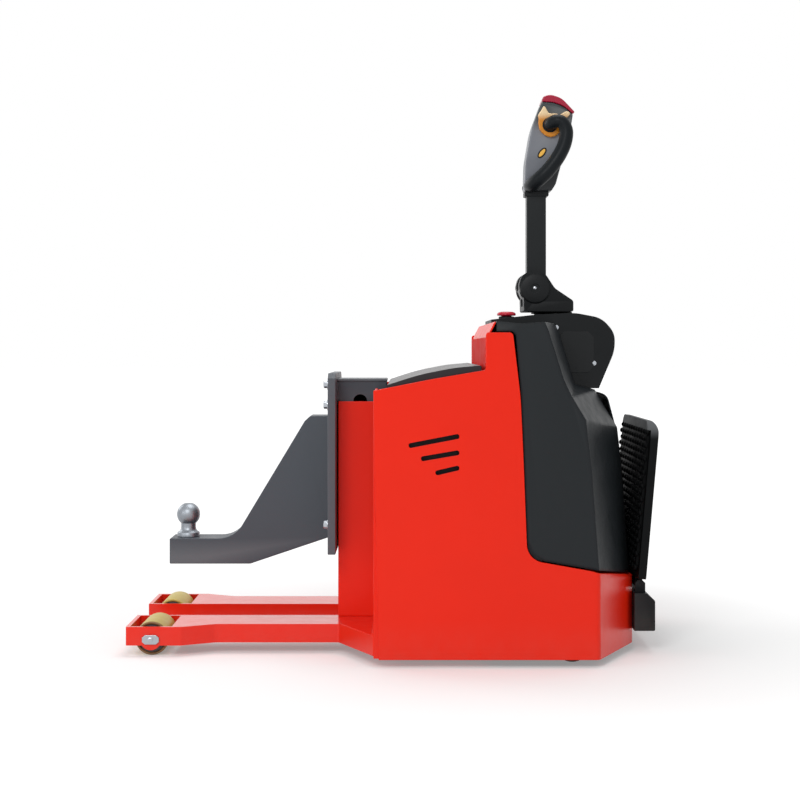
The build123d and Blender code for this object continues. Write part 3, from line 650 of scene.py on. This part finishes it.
@dataclass
class Bodywork:
    """Red sheet panels, dark covers, console, lid and what is inside them."""

    bay_edge: float = 0.8
    sheet_edge: float = 1.2
    sheets: tuple[str, ...] = ("side_panel_right", "side_panel_left", "rear_skirt", "front_wall",
                               "dash_fascia")
    cover_edge: float = 5.0
    cover_turn: float = 14.0
    solids: Solids = (
        ("rear_cover", "cover_plastic", 2.0, 2), ("console", "console_plastic", 4.0, 3),
        ("battery_lid", "lid_plastic", 2.5, 3), ("battery", "battery_case", 3.0, 2),
        ("drive_deck", "chassis_black", 1.0, 2))
    hatch: Box = (400.0, 486.0, 668.0, 768.0)
    hatch_corner: float = 14.0
    hatch_depth: Row = (-1.0, 0.9)
    screws: Rows = ((395.0, 778.0), (486.5, 691.0))
    screw_size: Row = (4.2, 3.2)
    screw_sides: int = 24
    console_y: float = 150.0
    fold: Rows = ((-39.5, 20.0), (-39.5, 330.0), (-30.5, 330.0), (-28.0, 20.0))
    fold_y: Row = (398.0, 403.9)
    corner: Box = (346.65, 281.4, 40.6, 27.0)
    corner_turn: Row = (182.2, 77.7)
    corner_steps: int = 14
    corner_y: Row = (403.0, 406.6)
    button_at: Vec = (275.5, -120.0, 0.0)
    button: Rows = (
        (0, 799), (13, 799), (13, 807), (21.5, 807), (22.8, 808.2), (23, 810), (22.4, 812.2),
        (20.5, 814.3), (16, 816.1), (9, 816.9), (0, 817))
    collar: Rows = ((13.5, 798), (19, 798), (19, 803.5), (17.5, 805), (13.5, 805), (13.5, 798))

    def build(self, shop: Workshop) -> None:
        """Dress the bodywork.

        Args:
            shop: The shared materials and trees.
        """
        bay = shop.dress("battery_bay", "red_inner", self.bay_edge)
        for node in self.sheets:
            shop.dress(node, "red_paint", self.sheet_edge)
        for side, _ in SIDES:
            shop.dress("side_cover_" + side, "cover_plastic", self.cover_edge, 3, self.cover_turn)
        shop.dress_all(self.solids)
        for side, sign in SIDES:
            self._console_trim(shop, side, sign)
        self._stop_button(shop)
        for side, sign in SIDES:
            self._closers(shop, side, sign)

    def _console_trim(self, shop: Workshop, side: str, sign: int) -> None:
        """Add the flush hatch and the bright screws to one side of the console."""
        x0, x1, z0, z1 = self.hatch
        cut = self.hatch_corner
        outline = [(x0 + cut, z0), (x1 - cut, z0), (x1, z0 + cut), (x1, z1 - cut),
                   (x1 - cut, z1), (x0 + cut, z1), (x0, z1 - cut), (x0, z0 + cut)]
        low, high = (sign * (self.console_y + depth) for depth in self.hatch_depth)
        shop.place("console_hatch_" + side, softened(slab(outline, low, high), 0.7), "chassis",
                   "console_plastic")
        points = [(x, sign * self.console_y, z) for x, z in self.screws]
        shop.bolts("console_screws_" + side, "chassis", points, self.screw_size,
                   (math.pi / 2 * -sign, 0.0, 0.0), self.screw_sides)

    def _stop_button(self, shop: Workshop) -> None:
        """Turn the mushroom button and its collar."""
        button = shop.place("stop_button_turned", lathe(self.button, self.button_at, False), "chassis",
                            "stop_red")
        button.data.shade_smooth()
        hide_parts("stop_button")
        collar = lathe(self.collar, self.button_at, False)
        shop.place("stop_button_collar", softened(collar, 0.6), "chassis", "console_plastic")

    def _closers(self, shop: Workshop, side: str, sign: int) -> None:
        """Close the folded edge beside the front wall and the cover's rounded lower corner."""
        fold = slab(self.fold, *(sign * y for y in self.fold_y))
        shop.place("panel_fold_" + side, softened(fold, 0.8), "chassis", "red_paint")
        x, z, outer, inner = self.corner
        start, sweep = self.corner_turn
        turns = [math.radians(start + sweep * step / self.corner_steps)
                 for step in range(self.corner_steps + 1)]
        rows = [(x + outer * math.cos(t), z + outer * math.sin(t)) for t in turns]
        rows += [(x + inner * math.cos(t), z + inner * math.sin(t)) for t in reversed(turns)]
        piece = slab(rows, *(sign * y for y in self.corner_y))
        shop.place("cover_corner_" + side, softened(piece, 0.6), "chassis", "cover_plastic")


@dataclass
class Hitch:
    """Post, saddle box, hitch plate, drawbar and ball at the pulling end."""

    solids: Solids = (
        ("front_post", "red_paint", 2.0, 3), ("saddle_box", "grey_paint", 1.2, 2),
        ("hitch_plate", "grey_paint", 1.6, 2), ("drawbar", "grey_paint", 2.0, 3))
    plate_x: float = -158.5
    bolt_rows: tuple[float, ...] = (640.0, 590.0, 300.0)
    bolt_y: float = 160.0
    bolt_size: Row = (9.5, 12.5)
    ball_x: float = -517.5
    ball_z: float = 310.0
    ball_r: float = 29.0
    neck_r: float = 18.5
    flat_z: float = 27.2
    top_z: float = 27.4
    ball_steps: int = 18
    foot: Rows = ((0, 254), (27, 254), (28, 255), (28, 264), (27, 265.5), (22, 268.5),
                  (19.2, 273), (18.4, 280))
    hole: Row = (-82.5, 597.0)
    # A dark disc in the far wall of the hole: painted shade for the inside of the hole.
    shade_disc: Rows = ((0, 92.0), (16.4, 92.0), (16.9, 93.5), (16.9, 99.0), (14.0, 100.6), (0, 101.2))
    welds: tuple[tuple[str, float, float, Row, float], ...] = (
        ("drawbar_weld_", -159.5, 50.5, (266.0, 556.0), 2.8),
        ("saddle_weld_", -138.5, 101.0, (604.0, 642.0), 2.4))

    def build(self, shop: Workshop) -> None:
        """Dress the hitch.

        Args:
            shop: The shared materials and trees.
        """
        shop.dress_all(self.solids)
        points = [(self.plate_x, y, z) for z in self.bolt_rows for y in (-self.bolt_y, self.bolt_y)]
        shop.bolts("hitch_bolts", "chassis", points, self.bolt_size, (0.0, -math.pi / 2, 0.0))
        # The dark disc seen through the hole is painted shade.
        shade_disc = lathe(self.shade_disc, (self.hole[0], 0, self.hole[1]), True)
        shop.place("saddle_hole_shade_disc", softened(shade_disc, 0.6), "chassis", "mat_rubber")
        self._ball(shop)
        for side, sign in SIDES:
            for name, x, y, heights, radius in self.welds:
                shop.weld(name + side, [(x, sign * y, z) for z in heights], radius, "grey_paint")

    def _ball(self, shop: Workshop) -> None:
        """Turn the tow ball with its neck and flange."""
        low = math.asin(self.neck_r / self.ball_r)
        high = math.acos(self.flat_z / self.ball_r)
        rows = list(self.foot)
        for step in range(self.ball_steps + 1):
            angle = math.pi - low + (high - math.pi + low) * step / self.ball_steps
            rows.append((self.ball_r * math.sin(angle), self.ball_z + self.ball_r * math.cos(angle)))
        rows.append((0, self.ball_z + self.top_z))
        mesh = lathe(rows, (self.ball_x, 0, 0), False, 72)
        mesh.shade_smooth()
        mesh.set_sharp_from_angle(angle=math.radians(40))
        piece = shop.place("tow_ball_turned", mesh, "chassis", "ball_steel", "zinc_steel")
        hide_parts("tow_ball")


@dataclass
class StraddleLegs:
    """Legs with their load rollers and axles."""

    flare: Rows = ((-130.3, 225.4), (-45.8, 402.4), (-39.6, 403.8), (-39.6, 388.0),
                   (-45.0, 388.0), (-124.9, 222.8))
    flare_z: Row = (25.5, 72.0)
    roller_at: Vec = (-572.5, 179.0, 40.0)
    bolt_y: float = 272.0
    bolt_size: Row = (6.0, 3.0)
    weld: tuple[Vec, Vec] = ((-46.5, 112.0, 72.0), (-46.5, 396.0, 72.0))
    weld_r: float = 2.6
    tread: Rows = (
        (33.0, -69.0), (36.5, -71.0), (38.6, -70.0), (39.6, -67.5), (40.0, -64.0), (40.0, 64.0),
        (39.6, 67.5), (38.6, 70.0), (36.5, 71.0), (33.0, 69.0), (33.0, -69.0))
    core: Rows = (
        (10.05, -74), (17.5, -74), (18.5, -73), (18.5, -70), (29, -67), (32.9, -68), (32.9, 68),
        (29, 67), (18.5, 70), (18.5, 73), (17.5, 74), (10.05, 74), (10.05, -74))

    def build(self, shop: Workshop) -> None:
        """Dress the legs and turn the rollers.

        Args:
            shop: The shared materials and trees.
        """
        for side, sign in SIDES:
            shop.dress("leg_" + side, "red_leg", 1.4)
            flare = slab([(x, sign * y) for x, y in self.flare], *self.flare_z, plan=True)
            shop.place("leg_flare_" + side, softened(flare, 1.0), "chassis", "red_paint")
            self._roller(shop, side, sign)
            x, _, z = self.roller_at
            shop.bolts("axle_bolt_" + side, "chassis", [(x, sign * self.bolt_y, z)], self.bolt_size,
                       (math.pi / 2 * -sign, 0.0, 0.0))
            shop.weld("leg_weld_" + side, [(x, sign * y, z) for x, y, z in self.weld], self.weld_r,
                      "red_paint")
        shop.dress("roller_axles", "zinc_steel", 0.8)

    def _roller(self, shop: Workshop, side: str, sign: int) -> None:
        """Turn one roller with its tread and its core."""
        x, y, z = self.roller_at
        centre = (x, sign * y, z)
        tread = lathe(self.tread, centre, True, 72)
        tread.shade_smooth()
        piece = shop.place("load_roller_tread_" + side, tread, "load_roller_" + side, "roller_tan")
        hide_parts("load_roller_" + side)
        core = lathe(self.core, centre, True, 64)
        shop.place("load_roller_core_" + side, softened(core, 0.5), "load_roller_" + side,
                   "cast_iron")


@dataclass
class DriveUnit:
    """Drive wheel, gearbox, motor and castors under the covers."""

    solids: Solids = (
        ("drive_gearbox", "cast_iron", 1.5, 2), ("drive_motor", "cast_iron", 1.5, 2),
        ("steering_column", "chassis_black", 0.6, 2), ("drive_hub", "cast_iron", 1.0, 2))
    castor_solids: Solids = (("castor_fork_", "zinc_steel", 0.8, 2),
                             ("castor_wheel_", "castor_tyre", 1.5, 3))
    axle_x: float = 372.5
    axle_z: float = 115.0
    nut_circle: float = 48.0
    nut_count: int = 5
    nut_y: float = -30.0
    nut_size: Row = (8.0, 9.0)
    tyre: Rows = (
        (82.0, -34.0), (100.0, -37.4), (107.0, -38.0), (111.5, -36.0), (114.0, -32.0),
        (115.0, -27.0), (115.0, 27.0), (114.0, 32.0), (111.5, 36.0), (107.0, 38.0), (100.0, 37.4),
        (82.0, 34.0), (82.0, -34.0))

    def build(self, shop: Workshop) -> None:
        """Dress the drive unit and the castors.

        Args:
            shop: The shared materials and trees.
        """
        shop.dress_all(self.solids)
        self._tyre(shop)
        turns = [2 * math.pi * i / self.nut_count for i in range(self.nut_count)]
        points = [(self.axle_x + self.nut_circle * math.cos(t), self.nut_y,
                   self.axle_z + self.nut_circle * math.sin(t)) for t in turns]
        shop.bolts("drive_wheel_nuts", "drive_wheel", points, self.nut_size,
                   (math.pi / 2, 0.0, 0.0))
        for side, _ in SIDES:
            shop.dress_all(tuple((name + side, *rest) for name, *rest in self.castor_solids))

    def _tyre(self, shop: Workshop) -> None:
        """Turn the solid drive tyre with rounded shoulders."""
        mesh = lathe(self.tyre, (self.axle_x, 0, self.axle_z), True, 96)
        mesh.shade_smooth()
        mesh.set_sharp_from_angle(angle=math.radians(40))
        piece = shop.place("drive_tyre_turned", mesh, "drive_wheel", "drive_tyre")
        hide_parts("drive_tyre")


@dataclass
class Tiller:
    """Bracket, arm, moulded head, cap, throttle wings and grip loops."""

    bracket: Solids = (("tiller_bracket", "console_plastic", 4.0, 3),
                       ("pivot_pin", "zinc_steel", 1.5, 2))
    solids: Solids = (
        ("tiller_arm", "arm_black", 5.0, 4), ("tiller_collar", "console_plastic", 3.0, 3),
        ("tiller_head", "head_plastic", 8.0, 4), ("head_cap", "cap_red", 4.0, 4))
    pad: Rows = ((348, -38), (360, -52), (434, -52), (444, -40), (444, 40), (434, 52),
                 (360, 52), (348, 38))
    pad_z: Row = (814.4, 818.5)
    pivot: Row = (349.5, 875.0)
    boss: Rows = (
        (0, 76.6), (8.5, 76.6), (10.5, 80.0), (12.0, 80.8), (33.5, 80.8), (34.8, 80.2),
        (35.4, 78.8), (36.6, 78.2), (37.6, 76.4), (37.0, 74.0), (0, 74.0))
    pin_slip: Row = (-1.0, 1.5)
    pin: Rows = ((0, 80.6), (3.4, 80.2), (5.4, 78.8), (6.0, 76.8), (6.0, 75.0), (0, 75.0))
    grip_r: float = 16.3
    grip_steps: int = 6
    loop: tuple[Box, ...] = (
        (388, 44, 1282, 1.0), (388, 58, 1283, 1.0), (392, 71, 1286, 1.0), (402, 80, 1289, 1.0),
        (414, 82, 1286, 1.0), (423, 82, 1274, 1.02), (426, 82, 1256, 1.04), (420, 82, 1228, 1.06),
        (404, 82, 1197, 1.08), (382, 81, 1168, 1.1), (362, 76, 1148, 1.12), (349, 63, 1138, 1.1),
        (343, 46, 1134, 1.05), (341, 24, 1133, 1.0))
    throttle: Rows = (
        (372, 1330), (366, 1319), (361, 1312), (358, 1305), (360, 1298), (359, 1286), (361, 1274),
        (367, 1264), (377, 1256), (389, 1252), (402, 1255), (411, 1263), (416, 1275), (416, 1290),
        (424, 1298), (433, 1303), (438, 1310), (436, 1315), (430, 1317), (424, 1315), (418, 1311),
        (412, 1308), (406, 1310), (400, 1311), (389, 1311), (384, 1313), (380, 1320), (377, 1327))
    throttle_y: Row = (45.2, 56.5)
    hub_at: Row = (388.0, 1282.5)
    hub: Rows = ((0, 50.0), (19.0, 50.0), (19.0, 58.0), (17.6, 60.0), (0, 60.0))
    inlay_at: Row = (369.0, 1214.0)
    inlay_lean: float = 52.0
    inlay_y: Row = (40.0, 45.0)
    inlay_steps: int = 36
    inlays: tuple[tuple[str, float, float, float, str, str], ...] = (
        ("rim", 15.5, 8.0, 0.8, "console_plastic", "console_plastic"),
        ("inlay", 12.0, 4.6, 1.6, "brass", "throttle_amber"))

    def build(self, shop: Workshop) -> None:
        """Dress the tiller.

        Args:
            shop: The shared materials and trees.
        """
        shop.dress_all(self.bracket)
        pad = slab(self.pad, *self.pad_z, plan=True)
        shop.place("bracket_pad", softened(pad, 0.4), "steering", "mat_rubber")
        shop.dress_all(self.solids)
        for side, sign in SIDES:
            self._boss(shop, side, sign)
            self._grip(shop, side, sign)
            self._throttle(shop, side, sign)
            self._inlay(shop, side, sign)

    def _boss(self, shop: Workshop, side: str, sign: int) -> None:
        """Turn the recessed boss and the bright pin end on one cheek of the bracket."""
        x, z = self.pivot
        boss = lathe([(r, sign * y) for r, y in self.boss], (x, 0, z), True, 72)
        boss.shade_smooth()
        boss.set_sharp_from_angle(angle=math.radians(28))
        shop.place("bracket_boss_" + side, boss, "steering", "console_plastic")
        centre = (x + self.pin_slip[0], 0, z + self.pin_slip[1])
        pin = lathe([(r, sign * y) for r, y in self.pin], centre, True, 32)
        pin.shade_smooth()
        shop.place("pivot_pin_end_" + side, pin, "steering", "zinc_steel")

    def _grip(self, shop: Workshop, side: str, sign: int) -> None:
        """Draw one grip loop, thicker where it runs into the head."""
        path = [(x, sign * y, z) for x, y, z, _ in self.loop]
        mesh = shop.bars.grow(path, True, shop.finish["grip_rubber"], [row[3] for row in self.loop],
                              Radius=self.grip_r * MM, Steps=self.grip_steps)
        piece = shop.place("grip_loop_" + side, mesh, "tiller", "grip_rubber")
        if sign < 0:
            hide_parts("tiller_grips")

    def _throttle(self, shop: Workshop, side: str, sign: int) -> None:
        """Cut one throttle with its two wings, and turn the dark hub in the middle of it."""
        plate = slab(self.throttle, *(sign * y for y in self.throttle_y))
        piece = shop.place("throttle_" + side, softened(plate, 3.4, 4, 12.0), "tiller",
                           "throttle_amber")
        if sign < 0:
            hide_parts("throttle_wings")
        hub = lathe([(r, sign * y) for r, y in self.hub], (self.hub_at[0], 0, self.hub_at[1]), True, 48)
        shop.place("throttle_hub_" + side, softened(hub, 0.8, 3), "tiller", "grip_rubber")

    def _inlay(self, shop: Workshop, side: str, sign: int) -> None:
        """Set the oval brass inlay in its dark rim on one side of the head."""
        lean = math.radians(self.inlay_lean)
        low, high = self.inlay_y
        for name, length, wide, depth, finish, slot in self.inlays:
            outline = []
            for step in range(self.inlay_steps):
                angle = 2 * math.pi * step / self.inlay_steps
                a, b = length * math.cos(angle), wide * math.sin(angle)
                outline.append((self.inlay_at[0] + a * math.cos(lean) - b * math.sin(lean),
                                self.inlay_at[1] + a * math.sin(lean) + b * math.cos(lean)))
            plate = slab(outline, sign * low, sign * (high + depth))
            shop.place(f"head_{name}_{side}", softened(plate, 0.5), "tiller", finish, slot)


@dataclass
class Platform:
    """Folding platform with its studded mat."""

    solids: Solids = (
        ("platform_tray", "platform_black", 3.0, 3), ("platform_mat", "mat_rubber", 1.5, 2),
        ("platform_hinge_block", "chassis_black", 1.6, 2))
    hinge_x: float = 591.0
    hinge_z: float = 160.0
    lean: float = 5.0
    mat_face: float = -18.5
    mat_low: float = 44.0
    mat_high: float = 367.0
    mat_half: float = 216.0
    rows: int = 21
    columns: int = 11
    stud_size: Row = (6.2, 5.0)

    def build(self, shop: Workshop) -> None:
        """Dress the platform and cover its mat with studs.

        Args:
            shop: The shared materials and trees.
        """
        shop.dress_all(self.solids)
        radius, height = self.stud_size
        mesh = shop.studs.grow([(0.0, 0.0, 0.0)], False, shop.finish["mat_rubber"], Rows=self.rows,
                               Columns=self.columns, Width=2 * self.mat_half * MM,
                               Length=(self.mat_high - self.mat_low) * MM, Radius=radius * MM,
                               Height=height * MM)
        middle = (self.mat_high + self.mat_low) / 2
        turn = Matrix.Rotation(math.radians(self.lean), 4, "Y")
        local = Matrix.Translation((self.mat_face * MM, 0, middle * MM)) @ Matrix.Rotation(
            -math.pi / 2, 4, "Y")
        seat = Matrix.Translation((self.hinge_x * MM, 0, self.hinge_z * MM))
        mesh.transform(seat @ turn @ local)
        shop.place("platform_mat_studs", mesh, "platform", "mat_rubber")


@dataclass
class Studio:
    """Floor, surroundings, lights and the camera at the photograph's viewpoint, in metres."""

    camera_at: Vec = (0.0275, -4.196, 0.723)
    lens: float = 74.97
    sensor: float = 36.0
    shift: Row = (-0.00625, -0.0625)
    lamps: tuple[tuple[str, Vec, Vec, float, float], ...] = (
        ("key", (-1.1, -4.4, 3.0), (0.0, 0.0, 0.5), 2.0, 84.0),
        ("fill", (-3.4, -2.6, 1.4), (0.0, 0.0, 0.5), 1.8, 16.0),
        ("top", (0.2, 0.4, 3.6), (0.0, 0.0, 0.4), 2.4, 46.0),
        ("rim", (-3.0, 2.0, 1.8), (0.0, 0.0, 0.5), 1.8, 20.0),
    )
    soft_light: float = 0.5
    floor_reach: float = 60.0
    floor_tone: float = 0.94
    floor_glow: float = 1.15
    glow_from: Row = (0.75, 0.22)
    glow_to: Row = (1.7, 1.0)

    def build(self) -> None:
        """Set up the studio."""
        scene = bpy.context.scene
        scene.view_settings.view_transform = "Standard"
        self._surroundings(scene)
        self._floor()
        for name, spot, aim, size, power in self.lamps:
            lamp = bpy.data.lights.new(name, "AREA")
            lamp.shape = "DISK"
            lamp.size = size
            lamp.energy = power
            light = linked(name, lamp)
            light.location = spot
            light.rotation_euler = (Vector(aim) - Vector(spot)).to_track_quat("-Z", "Y").to_euler()
        lens = bpy.data.cameras.new("photo_camera")
        lens.lens = self.lens
        lens.sensor_width = self.sensor
        lens.shift_x, lens.shift_y = self.shift
        camera = linked("photo_camera", lens)
        camera.location = self.camera_at
        camera.rotation_euler = (math.pi / 2, 0, 0)
        scene.camera = camera

    def _surroundings(self, scene: bpy.types.Scene) -> None:
        """Make the world: the white backdrop where it is seen, and soft light for the rest."""
        world = bpy.data.worlds.new("studio")
        world.use_nodes = True
        world.node_tree.nodes.clear()
        desk = NodeDesk(world.node_tree)
        strength = desk.add("ShaderNodeMix", {0: self._seen(desk), 2: self.soft_light, 3: 1.0})
        glow = desk.add("ShaderNodeBackground", {"Color": (1, 1, 1, 1), "Strength": strength})
        desk.add("ShaderNodeOutputWorld", {"Surface": glow})
        scene.world = world

    def _seen(self, desk: NodeDesk) -> Socket:
        """Return 1 for camera, glossy and transmission rays."""
        path = desk.add("ShaderNodeLightPath").outputs
        two = desk.calc("MAXIMUM", path["Is Camera Ray"], path["Is Glossy Ray"])
        return desk.calc("MAXIMUM", two, path["Is Transmission Ray"])

    def _floor(self) -> None:
        """Lay the pale floor: it keeps the shadow, turns white away from it and is clear from below."""
        material = bpy.data.materials.new("studio_floor")
        material.use_nodes = True
        material.node_tree.nodes.clear()
        desk = NodeDesk(material.node_tree)
        matt = desk.add("ShaderNodeBsdfDiffuse", {"Color": (*[self.floor_tone] * 3, 1)})
        glow = desk.add("ShaderNodeEmission", {"Color": (1, 1, 1, 1), "Strength": self.floor_glow})
        place = desk.add("ShaderNodeTexCoord").outputs["Object"]
        away = desk.add("ShaderNodeVectorMath", {0: place}, operation="LENGTH")
        (near, least), (far, most) = self.glow_from, self.glow_to
        share = desk.add("ShaderNodeMapRange", {0: away.outputs["Value"], 1: near, 2: far, 3: least,
                                                4: most}, interpolation_type="SMOOTHSTEP")
        amount = desk.calc("MULTIPLY", self._seen(desk), share)
        mixed = desk.add("ShaderNodeMixShader", {0: amount, 1: matt, 2: glow})
        under = desk.add("ShaderNodeNewGeometry").outputs["Backfacing"]
        clear = desk.add("ShaderNodeBsdfTransparent")
        sided = desk.add("ShaderNodeMixShader", {0: under, 1: mixed, 2: clear})
        desk.add("ShaderNodeOutputMaterial", {"Surface": sided})
        mesh = bpy.data.meshes.new("studio_floor")
        reach = self.floor_reach
        mesh.from_pydata([(-reach, -reach, 0), (reach, -reach, 0), (reach, reach, 0),
                          (-reach, reach, 0)], [], [(0, 1, 2, 3)])
        mesh.materials.append(material)
        floor = linked("studio_floor", mesh)


def main() -> None:
    """Build the sub-assemblies in order."""
    logging.basicConfig(level=logging.INFO, format="%(name)s: %(message)s")
    shop = Workshop()
    for assembly in (Bodywork(), Hitch(), StraddleLegs(), DriveUnit(), Tiller(), Platform()):
        LOG.info("building %s", type(assembly).__name__)
        assembly.build(shop)
    Studio().build()


if __name__ == "__main__":
    main()
